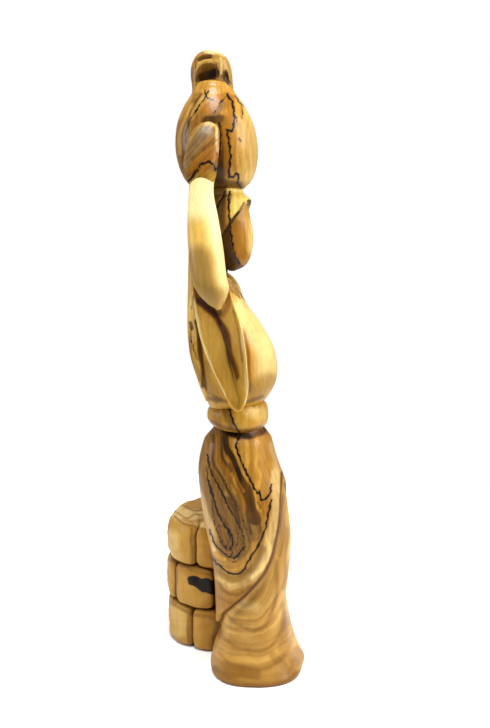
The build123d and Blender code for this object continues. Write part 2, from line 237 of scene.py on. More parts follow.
def finished(name, points, faces, nodes, slot, figure, crease=None):
    """Makes the mesh in metres, with its grain figure and painted light and shade, its material and its
    place in the frame.
    """
    mesh = bpy.data.meshes.new(name)
    mesh.from_pydata((points * MM).tolist(), [], faces)
    mesh.validate()
    bm = bmesh.new()
    bm.from_mesh(mesh)
    bmesh.ops.recalc_face_normals(bm, faces=bm.faces)
    bm.to_mesh(mesh)
    bm.free()
    mesh.polygons.foreach_set("use_smooth", [True] * len(mesh.polygons))
    obj = placed(name, mesh)
    draw_figure(mesh, points, figure, crease)
    mesh.materials.append(MATERIALS[slot])
    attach(obj, "root")
    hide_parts(*nodes)


# ---- wood figure
FAR_SIDE = (2, 22)          # x over which the photographed figure gives way to an invented one
NO_VEIN = 9.0               # distance stored where no vein is near
NEVER_CALM = 1e4            # depth for rings that go on to the edge


def draw_figure(mesh, points, figure, crease=None):
    """Stores the grain figure, with its painted highlights and shade, in the mesh as values at its points.

    They are tint (colour, with painted highlights and shadows), vein (distance from the nearest black
    vein), ring (depth in the growth rings), far (1 on the side that the photograph does not show) and
    crease (painted shade in grooves and where parts meet).
    """
    plain = seen(near_side(points))
    flat = seen(points)
    far_start, far_end = figure.get("far", FAR_SIDE)
    far = fade(points[:, 0], far_end, far_start)
    flat = flat + np.column_stack([
        far * (6 * np.sin(flat[:, 1] / 19 + 0.8) + 3),
        far * (8 * np.sin(flat[:, 0] / 11) + 9),
    ])
    wander = np.column_stack([
        0.5 * np.sin(flat[:, 1] / 4.1 + 0.3 * flat[:, 0]),
        0.4 * np.sin(flat[:, 0] / 3.3 + 1.7),
    ])
    tint = np.tile(np.array(figure["base"], float), (len(points), 1))
    for colour, half, blur, strength, *line in figure.get("strokes", ()):
        reach = distance(flat + wander, curved(line) if len(line) > 2 else line)
        share = strength * fade(reach, half, half + blur)
        tint += (np.array(colour) - tint) * share[:, None]
    y, z = flat.T
    jagged = flat + np.column_stack([
        0.22 * np.sin(1.3 * z + 0.7 * y) + 0.12 * np.sin(2.9 * z - 1.1 * y + 2.0),
        0.22 * np.sin(1.1 * y - 0.6 * z) + 0.12 * np.sin(2.7 * y + 0.9 * z),
    ])
    vein = np.full(len(points), NO_VEIN)
    for half, *line in figure.get("veins", ()):
        vein = np.minimum(vein, distance(jagged, line) - half)
    ring = distance(flat + wander, curved(figure["spine"]))
    calm = figure.get("calm", NEVER_CALM)
    ring = calm * (1 - np.exp(-ring / calm))
    shade = np.zeros(len(points)) if crease is None else crease
    for half, blur, strength, *line in figure.get("creases", ()):
        groove = fade(distance(plain, curved(line)), half, half + blur)
        shade = np.maximum(shade, strength * groove)
    rgba = np.column_stack([np.clip(tint, 0, 1), np.ones(len(points))])
    layer = mesh.attributes.new("tint", "FLOAT_COLOR", "POINT")
    layer.data.foreach_set("color", rgba.ravel())
    for name, values in (("vein", vein), ("ring", ring), ("far", far), ("crease", shade)):
        layer = mesh.attributes.new(name, "FLOAT", "POINT")
        layer.data.foreach_set("value", values.astype(np.float32))


# Lines drawn on the plane X = 0, as (y, z).
SKIRT_EDGE = [
    (4, 150), (-6, 128), (-11.8, 112), (-11.2, 97), (-10.5, 83), (-8.5, 73), (-6.5, 64), (-4, 57.5),
    (-1, 51.5), (4.5, 44.5), (10.5, 38), (17.5, 31.5), (21.5, 28), (25, 22), (44, 16),
]
HOOD_EDGE = [
    (4, 271), (6.5, 265.5), (9.5, 261.5), (12.5, 256.5), (17, 251), (21.5, 243.5), (23, 237),
    (23.5, 220),
]

# A figure has a base colour, a spine from which the growth rings are counted, strokes of other
# colours as (colour, half width, blur, strength, points), some of which are painted highlights and
# painted shadows, black veins as (half width, points) and painted shade in creases as (half width,
# blur, strength, points). "calm" is the depth past which the rings die away, and "far" takes the
# place of FAR_SIDE.
JAR = dict(base=TAN, spine=[(20, 330), (24, 300), (22, 262)], strokes=[
    # Painted highlight along the jar's lit front edge.
    (PALE, 2, 6, 0.6, (4, 310), (2, 292), (6, 276)),
    (LIGHT, 3, 5, 0.5, (10, 304), (9, 290), (11, 279)),
    (ORANGE, 2.6, 1.4, 0.97, (20.5, 306), (20.2, 296), (20.5, 280)),
    (BROWN, 0.9, 1.4, 0.9, (22.6, 303), (22.6, 292), (22.4, 280)),
    (ORANGE, 3, 2.5, 0.8, (20, 317), (26, 313), (31, 308), (35, 300)),
    (GREY, 1.6, 1.6, 0.9, (19.5, 306), (24, 307), (30, 306)),
    (GREY, 0.8, 1.4, 0.8, (21, 315), (24, 311), (27, 307)),
    (BROWN, 1.4, 1.6, 1, (22.5, 307.3), (26, 306.4), (31, 306)),
    (GREY, 2.2, 2, 0.9, (35, 318), (40.5, 307), (43.5, 294), (43, 284)),
    (BROWN, 0.8, 1.2, 0.8, (33, 319), (38, 310), (41.5, 300), (42.5, 290)),
    (TAN, 0.6, 1, 0.7, (37, 315), (42, 304), (44, 293)),
    # Painted shadow under the hand.
    (DARK, 2.6, 2.2, 1, (24, 281), (22.5, 270)),
    (UMBER, 2.5, 5, 0.65, (45, 302), (45, 286), (43, 276)),
    (GREY, 1.2, 1.6, 0.7, (33, 309), (38, 303), (41, 294)),
    (BROWN, 0.4, 1.2, 0.7, (36, 317), (42.4, 303), (44, 291), (43, 281)),
    (LIGHT, 0.5, 0.8, 0.8, (38.5, 315), (44, 302), (45.4, 289)),
    # Painted highlight on the shoulder, towards the back.
    (LIGHT, 0.6, 1.2, 0.7, (31, 319), (35, 314), (38, 308)),
    (BROWN, 1, 2, 0.8, (20, 273), (12, 271)),
    (ORANGE, 1.6, 1.4, 0.8, (16.8, 317), (16.2, 308), (17, 302)),
    (ORANGE, 0.6, 1.6, 0.6, (15, 300), (14.5, 290), (14.5, 280)),
    (BROWN, 0.3, 0.7, 0.9, (12.6, 296), (11.2, 294.6)),
], veins=[
    (0.55, (19, 319.5), (16, 316), (15, 310.5), (15, 304.5), (16, 300.5), (19, 301), (17.5, 293),
        (17, 287), (17.5, 281), (18, 275.5), (15, 276), (14.2, 277.5), (12.5, 277), (13, 273), (11.5, 270)),
    (0.25, (18.5, 319.5), (22.5, 315), (26, 310)),
    (0.3, (28.5, 322), (34, 314), (39.5, 306.5), (42, 299), (41.5, 294.5)),
    (0.4, (23, 304.5), (22.5, 298.5), (23, 290), (23.5, 284)),
    (0.12, (14.5, 319), (10.5, 313), (10.5, 307)),
    (0.3, (31, 322), (30, 318), (26.5, 317)),
    (0.1, (15.4, 309), (13.4, 307), (13.2, 303)),
])
JAR_TOP = dict(base=DULL, spine=[(26, 345), (27, 330), (27, 316)], strokes=[
    # Painted shade in the hollows under the handles and under the lip.
    (UMBER, 1.6, 1.6, 0.8, (34, 332), (29.5, 334), (26, 333)),
    (DARK, 1.6, 1.8, 0.95, (34, 328), (28.5, 330), (25, 331)),
    (BROWN, 1, 1.4, 0.9, (20, 331), (18.5, 326)),
    (UMBER, 0.7, 1.2, 0.85, (35, 337.6), (32, 338.9), (28.5, 339.3)),
    # Painted highlights on the handle ridges and on the lip.
    (LIGHT, 0.5, 0.9, 0.8, (36, 333), (33, 336.3), (28.5, 337.2), (24.5, 337.6)),
    (PALE, 0.2, 1, 0.6, (22.8, 339), (22, 335), (21.6, 331)),
    (PALE, 0.5, 1.2, 0.8, (30, 342.4), (25, 342.4), (21, 341)),
    (GREY, 0.8, 1.2, 0.7, (37.4, 334), (38.2, 328)),
], veins=[
    (0.05, (25, 337), (24, 332), (23.4, 329)),
    (0.1, (36, 336), (37.2, 331)),
])
HAND = dict(base=SMOKE, spine=[(20, 312), (30, 300), (44, 286)], strokes=[
    (HONEY, 0.3, 1.2, 0.5, (24.5, 302), (32, 304), (39, 298), (42.5, 284)),
    (ORANGE, 3.4, 3, 0.95, (26, 292), (30, 286.5), (36, 280)),
    (ASH, 1.4, 1.8, 0.9, (41, 284), (38.5, 293), (32, 300)),
    # Painted highlight along the hand's bevelled top edge.
    (PALE, 0.3, 0.9, 0.7, (31, 304.3), (25.5, 303.6), (24, 300), (24.2, 290)),
    (BROWN, 0.5, 1.2, 0.6, (25, 296), (31, 291), (38, 286)),
    (HONEY, 3, 4, 0.9, (36, 272), (30, 274), (25, 272)),
], veins=[
    (0.55, (41, 273.5), (39.5, 274.5), (37, 278), (35, 280), (34, 282.5), (31.5, 283.5), (29, 284.5),
        (26.5, 282.5), (25, 279.5), (23.5, 281)),
])
# Painted light and shade: a pale base for the top of the raised arm, where the light falls, and darker gold
# and olive strokes as painted shade on its lower side. The left forearm and hand take the same pale base.
ARM = dict(base=CREAM, spine=[(60, 280), (62, 240), (58, 200)], strokes=[
    (GOLD, 3, 10, 0.9, (37, 246), (33, 226), (28, 210)),
    (ARM_SHADE, 3.8, 8, 0.9, (35.5, 231), (33, 220), (29, 210)),
], veins=[
    (0.5, (41, 273.5), (39.5, 274.5), (37, 278), (35, 280)),
])
HEAD = dict(base=TAN, spine=[(24, 262), (22, 244), (16, 226)], strokes=[
    # Painted highlight along the face's lit front edge.
    (PALE, 0.6, 3, 0.6, (5, 252), (4.5, 244), (5, 236)),
    (GREY, 1.5, 3.5, 0.6, (13, 231), (8, 230)),
    (ORANGE, 2.2, 2.6, 0.8, (14, 249), (13, 240), (11.5, 234)),
    (UMBER, 0.2, 1, 0.6, (10, 251), (9, 242), (8.4, 234)),
    (COFFEE, 4.4, 1.1, 0.97, (22.5, 252), (22, 243), (20.5, 236), (18, 230), (15, 223)),
    # Painted shadow under the edge of the scarf.
    (DARK, 0.4, 0.8, 0.9, *HOOD_EDGE[3:7]),
], veins=[
    (0.4, (17.5, 253), (17.2, 250), (16.6, 244), (15.8, 238.5), (14.3, 233), (11.5, 228.5), (9, 226)),
])
NECK = dict(HEAD, base=BROWN)
SCARF = dict(base=BUTTER, spine=[(26, 275), (24, 255), (20, 232)], strokes=[
    (BROWN, 3.6, 1.4, 0.95, (23.8, 272), (23.8, 258), (23, 246), (22.5, 236)),
    (DARK, 0.9, 0.8, 0.95, (6.6, 262.2), (6.3, 259)),
    # Painted shadow along the scarf's edge.
    (DARK, 0.4, 0.7, 0.9, *HOOD_EDGE[3:7]),
    (ORANGE, 1.2, 1.2, 0.8, (18.2, 266), (18.8, 258), (18.2, 249)),
], veins=[
    (0.5, (17.5, 268), (18, 263.5), (18, 258), (17.5, 253), (17, 246)),
    (0.4, (20, 268), (23, 262), (26, 257)),
], creases=[
    (0.35, 1.1, 1, *HOOD_EDGE[2:]),
])
BODICE = dict(base=HONEY, spine=[(40, 222), (36, 190), (34, 150)], strokes=[
    # Painted highlight on the upper front.
    (PALE, 4, 8, 0.75, (8, 204), (2, 193), (-4, 182), (-5, 172)),
    (ORANGE, 0.7, 2.4, 0.65, (10, 191), (8, 178), (7.4, 166)),
    # Darker towards the bottom.
    (OLIVE, 2, 6, 0.7, (6, 158), (0, 160), (-4, 164)),
    (GREY, 1.2, 3.5, 0.6, (32, 172), (29.5, 162), (25, 154)),
], veins=[
    (0.1, (32.5, 163), (30.8, 157.5), (27, 155), (22, 152.8)),
    (0.05, (33, 158), (30, 154), (25, 151)),
], creases=[
    (0.2, 2, 0.75, (29.5, 153.4), (20, 152.2), (9, 151.8), (3, 153.6), (-1, 155)),
    (0.6, 1.6, 0.95, (36.6, 214), (36.3, 196), (34.4, 182), (33.4, 170), (32, 160)),
    (0, 1.4, 0.6, (6, 158), (6.5, 168), (7.2, 179), (9, 190)),
])
FOLD = dict(base=FAWN, spine=[(16, 222), (12, 213), (7, 203)], strokes=[
    (UMBER, 0.4, 1, 0.8, (19, 220), (15, 216), (11, 210)),
    (PALE, 0.4, 0.8, 0.7, (15, 219), (10.5, 213), (7, 206.5)),
], veins=[
    (0.2, (16, 219), (12, 213.5), (8.5, 207.5)),
])
VEIL = dict(base=(0.85, 0.56, 0.17), spine=[(36, 226), (38, 190), (33, 150)], strokes=[
    (UMBER, 0.6, 1.6, 0.6, (41, 188), (38.5, 174), (35, 164)),
    (PALE, 0.8, 2, 0.5, (38.6, 212), (38, 200), (37, 188)),
    (DARK, 0.5, 0.7, 0.85, (39.8, 196.4), (39.2, 193)),
    # Painted shadow in the gap between the veil and the sleeve.
    (BROWN, 0.6, 1.2, 0.9, (36.8, 197), (34.8, 185), (33.8, 172), (32.5, 160)),
], veins=[
    (0.15, (39.6, 194), (39.4, 187), (37.6, 179.5), (35.8, 175.5)),
    (0.05, (38, 219), (37.4, 214), (39, 204)),
])
SLEEVE = dict(base=AMBER, spine=[(52, 222), (50, 190), (46, 150)], strokes=[
    (STRAW, 1.5, 4, 0.6, (13, 190), (12, 176), (10.5, 164)),
    (ORANGE, 0.8, 2, 0.8, (19, 214), (18.5, 206), (21, 201)),
    # Painted highlights along both rims of the sleeve's mouth.
    (PALE, 0.5, 0.9, 0.85, (37.6, 213), (36.8, 203), (34.6, 191), (31, 179.5), (27, 169), (20.5, 154.5)),
    (PALE, 0.5, 0.9, 0.85, (17, 215), (13.6, 204.5), (11.3, 195), (9.6, 184), (8.4, 170), (7.6, 159),
        (9, 151)),
    # Painted shade under the elbow and along the groove of the sleeve's mouth.
    (GROOVE_SHADE, 1.3, 1.6, 1, (34, 208), (29, 203), (25, 199.5), (22, 195), (20, 190), (18.5, 184), (17, 177),
        (15.3, 170), (14.2, 166)),
], creases=[
    (0.4, 1.6, 0.6, (27, 204), (24.6, 200), (22, 194), (20.4, 189.5), (18, 181), (15.4, 170.5)),
    (2, 2.4, 1, (37, 213.5), (33, 208.5), (29, 204.8), (25, 202)),
    (0, 1, 0.7, (10.6, 175), (12.6, 190), (15.5, 203)),
])
SASH = dict(base=HONEY, spine=[(30, 160), (28, 145), (27, 130)], strokes=[
    (DRAB, 1, 2, 0.55, (25, 152), (24, 140)),
    (BROWN, 0.8, 2.2, 0.6, (20.5, 150), (18.5, 142), (17, 138)),
    # Painted highlight on the front of the sash.
    (PALE, 2, 4, 0.4, (6, 147), (0, 146)),
], veins=[
    (0.5, (18.6, 152), (18, 148), (16.5, 143), (15, 139), (12, 134)),
], creases=[
    (0.2, 2, 0.8, (28, 140), (22, 137.4), (14, 135.6), (6, 135.8), (0, 138)),
    (0.2, 1.4, 0.8, (29.5, 152), (20, 151), (9, 150.6), (3, 152.6), (-1, 154.5)),
    (0.3, 0.7, 0.9, (6.2, 150.8), (4.2, 150)),
])
SKIRT = dict(base=TAN, calm=18, spine=[(26, 140), (24, 120), (25, 98), (22, 80), (18, 70)], strokes=[
    # Painted highlight along the lip of the wrapped panel's edge.
    (PALE, 1.5, 2.6, 0.85, (-8.5, 112), (-9, 95), (-7.5, 80), (-4.5, 68), (0, 59), (5, 51)),
    (PALE, 0.1, 3, 0.6, (-6.5, 128), (-8, 118), (-8.8, 108)),
    (PALE, 0.8, 2.4, 0.4, (5, 50), (11, 45.5), (18, 45), (24, 50)),
    # Painted highlight along the skirt's back edge.
    (PALE, 0.8, 1.6, 0.6, (34.5, 118), (33, 100), (29.5, 82), (26.5, 66)),
    (UMBER, 0.3, 1.4, 0.55, (25, 47), (19, 40.5), (12, 40), (6, 44.5)),
    (UMBER, 0.2, 1.2, 0.4, (24, 38), (19, 35), (15, 35)),
    (GREY, 0.9, 2.2, 0.65, (26, 56), (20, 50), (14, 48.5), (8, 52), (3, 60), (-1, 68)),
    (GREY, 7.8, 2.6, 0.95, (29, 134), (28, 112), (23, 95), (17, 79), (15, 69)),
    (GREY, 4.5, 2.6, 0.9, (10, 95), (5, 86), (4, 77)),
    (DULL, 1, 1.8, 0.8, (26.5, 130), (25, 114), (20, 103), (16, 95)),
    (DUSK, 0.6, 1.4, 0.7, (31, 126), (31, 112), (27, 98), (25, 88)),
    (DUSK, 0.5, 1.2, 0.7, (14, 92), (11.5, 84), (10, 77)),
    (UMBER, 1.8, 1.8, 0.9, (22, 79), (20, 73), (18.5, 68)),
    (UMBER, 0.5, 1.2, 0.9, (14, 76), (12, 71), (14, 65)),
    (BROWN, 1.5, 1, 1, (21, 136), (19, 126), (16, 119)),
    (BROWN, 3.2, 1, 1, (15, 117), (11, 109), (8, 101), (5.5, 93), (3.8, 85)),
    (DARK, 1.4, 1.2, 0.85, (13.5, 113), (9.8, 105), (7, 98), (5, 90)),
    (ORANGE, 0.6, 0.8, 0.95, (25, 132), (23.5, 122), (20, 112), (15, 104), (11.5, 97), (9, 90)),
    (ORANGE, 0.3, 0.7, 0.9, (19, 121), (16, 113), (12.5, 106), (10, 100)),
    (BROWN, 0.8, 1.6, 0.6, (18, 96), (15, 90), (13, 84), (11.5, 79)),
    (TAN, 0.5, 0.7, 0.95, (16, 132), (15.2, 125), (12.6, 117), (9, 110), (5.6, 104), (2.5, 98), (1, 90)),
    (BROWN, 0.5, 0.8, 0.85, (27.5, 132), (27, 118), (22.5, 108), (17, 99), (13.5, 90), (11.5, 82)),
    (BROWN, 0.4, 0.8, 0.75, (22.8, 131), (21.6, 121), (17.5, 112)),
    (BROWN, 0.3, 0.9, 0.7, (28.5, 100), (24.5, 88), (19.5, 81)),
    (UMBER, 0.4, 0.8, 0.8, (30.5, 128), (30, 118), (26, 109), (20, 101)),
    (BROWN, 0.4, 0.8, 0.8, (8, 92), (7, 84), (6, 76)),
    (BROWN, 0.3, 0.8, 0.7, (1.5, 90), (1.5, 84), (0, 78)),
    (ORANGE, 0.6, 1.2, 0.5, (-1, 96), (-2, 88), (-3.5, 95)),
    # Painted shadow under the sash.
    (DARK, 1, 1.3, 0.95, (21, 135.5), (13, 132.4), (7, 132.2)),
], veins=[
    (0.5, (11, 133.5), (12.5, 131), (14, 128.5), (14, 126), (12.8, 122), (10, 115.5), (8, 111),
        (5.6, 106.5), (3.5, 102), (2, 99.8), (1, 99.6), (0.5, 101), (0.2, 97), (-0.5, 95.5), (-3, 97),
        (-4.5, 98.5), (-5.6, 101.5), (-6, 105)),
    (0.1, (1.5, 95), (0.5, 91), (-1.5, 94.5)),
    (0.42, (30.5, 121), (29.5, 114), (27, 108.5), (24, 103), (21.5, 98), (19, 92), (16, 87), (13.5, 83),
        (11, 78), (9.5, 73), (9.5, 69), (11.5, 65), (13.5, 62.5), (15.5, 61)),
    (0.15, (8.5, 68.5), (10.5, 64), (14.5, 59), (19, 60)),
    (0.42, (30.5, 107), (28.5, 101.5), (26.5, 94), (25, 88), (21, 80.5), (17.5, 76.5), (16.2, 73),
        (16.2, 69), (17.5, 67), (16.5, 64), (17, 62), (19, 62), (24, 66), (26.5, 69), (28, 73), (29.5, 77)),
    (0.2, (20.5, 107), (19.5, 104.5), (20, 102)),
    (0.2, (24, 103), (21, 98), (19.5, 94)),
    (0.25, (24.5, 79.5), (21.5, 80.5), (19, 78), (17.8, 74), (18.6, 69), (21, 67.5), (23.5, 71)),
    (0.2, (14, 80), (13, 75), (13.2, 70), (15, 66)),
    (0.2, (31, 114), (30, 104), (28, 96), (27.2, 86), (26, 79), (23, 72), (19.5, 66)),
    (0.2, (12.6, 92), (10.4, 84), (7.2, 76), (6.4, 70)),
    (0.5, (-6, 96), (-4.5, 89), (-3, 80.5), (-1, 74.5), (1.5, 69), (4.5, 64), (7.5, 59.5), (9, 55.5),
        (11.5, 52.8), (15.5, 51.5), (19.5, 53), (26, 58), (28, 61)),
], creases=[
    (1.2, 1.8, 1, (26, 139), (18, 134.8), (12, 133.2), (6, 133), (-1, 135.5)),
    (0.2, 0.9, 1, *SKIRT_EDGE[2:]),
])
HEM = dict(base=(0.52, 0.31, 0.1), calm=60, spine=[(-6, 110), (-5, 78), (1, 52), (9, 38)], strokes=[
    # Painted highlights on the under-skirt just below the wrapped panel's edge.
    (PALE, 1, 4, 0.3, (10, 33), (3, 33)),
    (LIGHT, 0.8, 2.4, 0.7, (13, 33), (19.5, 24), (21, 14)),
    (UMBER, 0.4, 1.6, 0.6, (16.5, 25), (11, 20), (4, 19), (-3, 22.5), (-7, 30.5), (-9, 42), (-9.5, 60)),
    (LIGHT, 0.7, 2, 0.4, (20, 19), (13, 13.5), (4, 12.5), (-5, 16), (-10, 26), (-12, 42)),
    (UMBER, 0.4, 1.6, 0.5, (22, 14), (14, 8), (4, 6.5), (-6, 10), (-12, 20), (-14.5, 34)),
    (LIGHT, 0.6, 2, 0.35, (24, 9), (15, 3), (4, 1), (-7, 4.5), (-14, 13), (-17, 26)),
    (UMBER, 0.3, 1.4, 0.5, (25, 4), (16, -2.5), (5, -5), (-7, -2), (-15, 6), (-19, 16)),
    (UMBER, 2, 3.5, 0.6, (18, -8), (10, -7), (3, -7)),
    (UMBER, 0.5, 5, 0.45, (20, -3), (0, -12), (-18, -6)),
    (UMBER, 1.2, 3, 0.5, (-14, 24), (-13, 8)),
    (UMBER, 1.2, 2.6, 0.5, (-8, 4), (-13, -2)),
    (UMBER, 1.4, 3, 0.5, (-20, 2), (-18, -6)),
    (UMBER, 1.8, 2.6, 0.8, (27, -7), (14, -14.5), (0, -16.5), (-14, -13.5), (-25, -5)),
    # Painted highlight along the under-skirt's front edge.
    (LIGHT, 0.6, 1.8, 0.75, (-16.5, 98), (-17.4, 72), (-15.8, 45), (-17, 28), (-21, 12)),
    (UMBER, 0.6, 1.6, 0.6, (-12, 98), (-12.5, 82), (-11, 64)),
    (UMBER, 0.3, 1.4, 0.45, (-15, 80), (-14.5, 60), (-13, 44)),
], creases=[
    (0.2, 1.8, 1, *SKIRT_EDGE[2:]),
])
STONE = dict(base=(0.55, 0.32, 0.08), far=(56, 74), spine=[(50, 82), (42, 86), (30, 86)], strokes=[
    (PALE, 1, 5, 0.4, (51, 72), (50, 60)),
    (PALE, 2, 5, 0.35, (49, 28), (48, 16)),
    (ORANGE, 2, 4, 0.55, (31, 76), (30, 56)),
    (ORANGE, 2, 5, 0.55, (30, 30), (30, 10)),
    (ORANGE, 0.5, 3, 0.5, (52, 56), (44, 52), (30, 49)),
    # Painted shade on the stones next to the skirt.
    (BROWN, 0.8, 2.6, 0.75, (26, 62), (25, 50), (24.5, 30), (26.5, 6)),
    (UMBER, 0.4, 1.6, 0.8, (56, 60), (49, 56.5), (42, 54), (34, 51.5), (26, 49.5)),
    (UMBER, 0.4, 1.6, 0.8, (56, 35), (48, 30), (40, 27), (32, 25.3), (25, 23.5)),
    (UMBER, 0.2, 1.2, 0.8, (39.6, 78), (40.3, 57)),
    (UMBER, 0.2, 1.2, 0.8, (49.5, 52), (49.5, 36)),
    (UMBER, 0.2, 1.2, 0.8, (41.8, 26), (42.4, 8)),
    (SAND, 3.2, 2.6, 0.9, (47, 86), (38, 85), (30, 83)),
    (UMBER, 0.2, 0.9, 0.8, (49.5, 84), (45, 80.6), (39, 79.6), (30, 77)),
    (BROWN, 0.1, 0.8, 0.6, (49, 87), (43, 84), (38, 86.5), (31, 84)),
    (ORANGE, 0.4, 1.4, 0.6, (45, 83), (39, 82), (33, 82.5)),
    (BROWN, 0.1, 0.7, 0.6, (44, 91), (38, 88.5), (30, 89)),
    # Painted highlight near the top of the well.
    (PALE, 0.6, 1.4, 0.7, (36, 80), (29, 78.6)),
])
BLACKENED = dict(STONE, veins=[
    (3, (39.5, 46.6), (36, 45.5), (31, 44.2), (22, 43)),
    (4.2, (32.5, 44.2), (29, 43.4), (20, 43)),
])
WELL_TOP = dict(STONE, base=(0.42, 0.26, 0.09))


# ---- materials
class Graph:
    """Short calls for building a material's nodes."""

    def __init__(self, material):
        material.use_nodes = True
        self.tree = material.node_tree
        self.shader = self.tree.nodes["Principled BSDF"]

    def add(self, kind, settings=None, **inputs):
        node = self.tree.nodes.new(kind)
        for name, value in (settings or {}).items():
            setattr(node, name, value)
        for name, value in inputs.items():
            self.feed(node.inputs[name.replace("_", " ")], value)
        return node

    def feed(self, socket, value):
        if isinstance(value, bpy.types.NodeSocket):
            self.tree.links.new(value, socket)
        else:
            socket.default_value = value

    def math(self, operation, a, b=0.0):
        node = self.tree.nodes.new("ShaderNodeMath")
        node.operation = operation
        self.feed(node.inputs[0], a)
        self.feed(node.inputs[1], b)
        return node.outputs[0]

    def spread(self, value, low, high, to_low, to_high):
        node = self.add("ShaderNodeMapRange", {"interpolation_type": "SMOOTHSTEP"})
        for socket, given in zip(node.inputs, (value, low, high, to_low, to_high)):
            self.feed(socket, given)
        return node.outputs[0]

    def mix(self, share, a, b, blend="MIX"):
        node = self.add("ShaderNodeMix", {"data_type": "RGBA", "blend_type": blend})
        for socket, given in zip((node.inputs[0], node.inputs[6], node.inputs[7]), (share, a, b)):
            self.feed(socket, given)
        return node.outputs[2]

    def attribute(self, name, output):
        return self.add("ShaderNodeAttribute", {"attribute_name": name}).outputs[output]

    def noise(self, vector, stretch, detail):
        scaled = self.add("ShaderNodeMapping", Vector=vector, Scale=stretch)
        node = self.add("ShaderNodeTexNoise", Vector=scaled.outputs[0], Scale=1.0, Detail=detail)
        return node.outputs[0]


# Noise frequencies per metre along X, Y and Z, then octaves of detail. The grain runs along Z.
CLOUD = (60, 60, 38), 3
STREAK = (620, 620, 42), 4
FIBRE = (2600, 2600, 190), 3
PORE = (4200, 4200, 620), 1
RAGGED = (420, 420, 330), 3
DRIFT = (150, 150, 80), 2
FAR_VEINS = (26, 26, 9), 3

# Colours mixed over the tint or multiplied with it.
CLOUD_TONE = (0.45, 0.21, 0.02, 1)
GROWTH_TONE = (0.42, 0.30, 0.18, 1)
STREAK_TONES = (0.70, 0.62, 0.50, 1), (1.14, 1.16, 1.18, 1)
FIBRE_TONES = (0.78, 0.74, 0.66, 1), (1.1, 1.1, 1.1, 1)
PORE_TONE = (0.07, 0.03, 0.01, 1)
# Painted shade, multiplied in where the crease values are high.
CREASE_TONE = (0.20, 0.11, 0.04, 1)
HALO_TONE = (0.14, 0.055, 0.012, 1)
FAR_VEIN_TONE = (0.03, 0.012, 0.005, 1)
VEIN_TONE = (0.006, 0.003, 0.002, 1)
OIL_TONE = (0.80, 0.75, 0.50, 1)


def olive_wood(name, rings=0.5, streaks=0.5, gloss=0.3, pitch=0.45):
    """Polished olive wood: the mesh's figure, with its painted highlights and shade, and growth lines,
    fibres, pores and wax.

    rings and streaks are strengths, gloss is the lowest roughness and pitch the frequency of the
    growth lines, per mm of depth.
    """
    material = bpy.data.materials.new(name)
    g = Graph(material)
    place = g.add("ShaderNodeTexCoord").outputs["Object"]
    tint = g.attribute("tint", "Color")
    vein = g.attribute("vein", "Fac")
    ring = g.attribute("ring", "Fac")
    far = g.attribute("far", "Fac")
    crease = g.attribute("crease", "Fac")

    cloud = g.noise(place, *CLOUD)
    streak = g.noise(place, *STREAK)
    fibre = g.noise(place, *FIBRE)
    pore = g.noise(place, *PORE)
    ragged = g.noise(place, *RAGGED)
    drift = g.noise(place, *DRIFT)

    depth = g.math("ADD", ring, g.math("MULTIPLY", drift, 2.0))
    across = g.math("MULTIPLY", depth, pitch)
    waves = g.math("MULTIPLY", cloud, 1.2)
    line_place = g.add("ShaderNodeCombineXYZ", X=across, Y=waves).outputs[0]
    growth = g.add("ShaderNodeTexNoise", Vector=line_place, Scale=1.0, Detail=3.0).outputs[0]
    growth_dark = g.spread(growth, 0.38, 0.64, 1.0, 0.0)

    colour = g.mix(g.spread(cloud, 0.35, 0.7, 0.0, 0.28), tint, CLOUD_TONE)
    colour = g.mix(g.math("MULTIPLY", growth_dark, rings), colour, GROWTH_TONE, "MULTIPLY")
    streak_tone = g.mix(g.spread(streak, 0.3, 0.72, 0.0, 1.0), *STREAK_TONES)
    colour = g.mix(streaks, colour, streak_tone, "MULTIPLY")
    fibre_tone = g.mix(g.spread(fibre, 0.3, 0.7, 0.0, 1.0), *FIBRE_TONES)
    colour = g.mix(0.1 + 0.6 * streaks, colour, fibre_tone, "MULTIPLY")
    colour = g.mix(g.spread(pore, 0.66, 0.74, 0.0, 0.45), colour, PORE_TONE)
    # Painted shade in grooves and where parts meet.
    colour = g.mix(g.math("MULTIPLY", crease, 0.92), colour, CREASE_TONE, "MULTIPLY")

    edge = g.math("ADD", vein, g.math("MULTIPLY", g.math("SUBTRACT", ragged, 0.48), 0.9))
    halo = g.spread(edge, 0.0, 1.2, 0.35, 0.0)
    colour = g.mix(halo, colour, HALO_TONE)
    wild = g.noise(place, *FAR_VEINS)
    wild_edge = g.math("ABSOLUTE", g.math("SUBTRACT", wild, 0.53))
    wild_line = g.math("MULTIPLY", g.spread(wild_edge, 0.003, 0.008, 0.85, 0.0), far)
    colour = g.mix(wild_line, colour, FAR_VEIN_TONE)
    colour = g.mix(g.spread(edge, -0.06, 0.2, 0.99, 0.0), colour, VEIN_TONE)
    colour = g.mix(1.0, colour, OIL_TONE, "MULTIPLY")
    g.feed(g.shader.inputs["Base Color"], colour)

    rough = g.math("ADD", g.math("MULTIPLY", fibre, 0.12), gloss)
    g.feed(g.shader.inputs["Roughness"], g.math("ADD", rough, g.math("MULTIPLY", cloud, 0.1)))
    g.shader.inputs["Coat Weight"].default_value = 0.08
    g.shader.inputs["Coat Roughness"].default_value = 0.14
    g.shader.inputs["Specular IOR Level"].default_value = 0.12
    height = g.math("ADD", g.math("MULTIPLY", fibre, 0.35), g.math("MULTIPLY", streak, 0.5))
    height = g.math("ADD", height, g.math("MULTIPLY", drift, 1.6))
    relief = g.add("ShaderNodeBump", Height=height, Strength=0.28, Distance=0.0005)
    g.feed(g.shader.inputs["Normal"], relief.outputs[0])
    return material


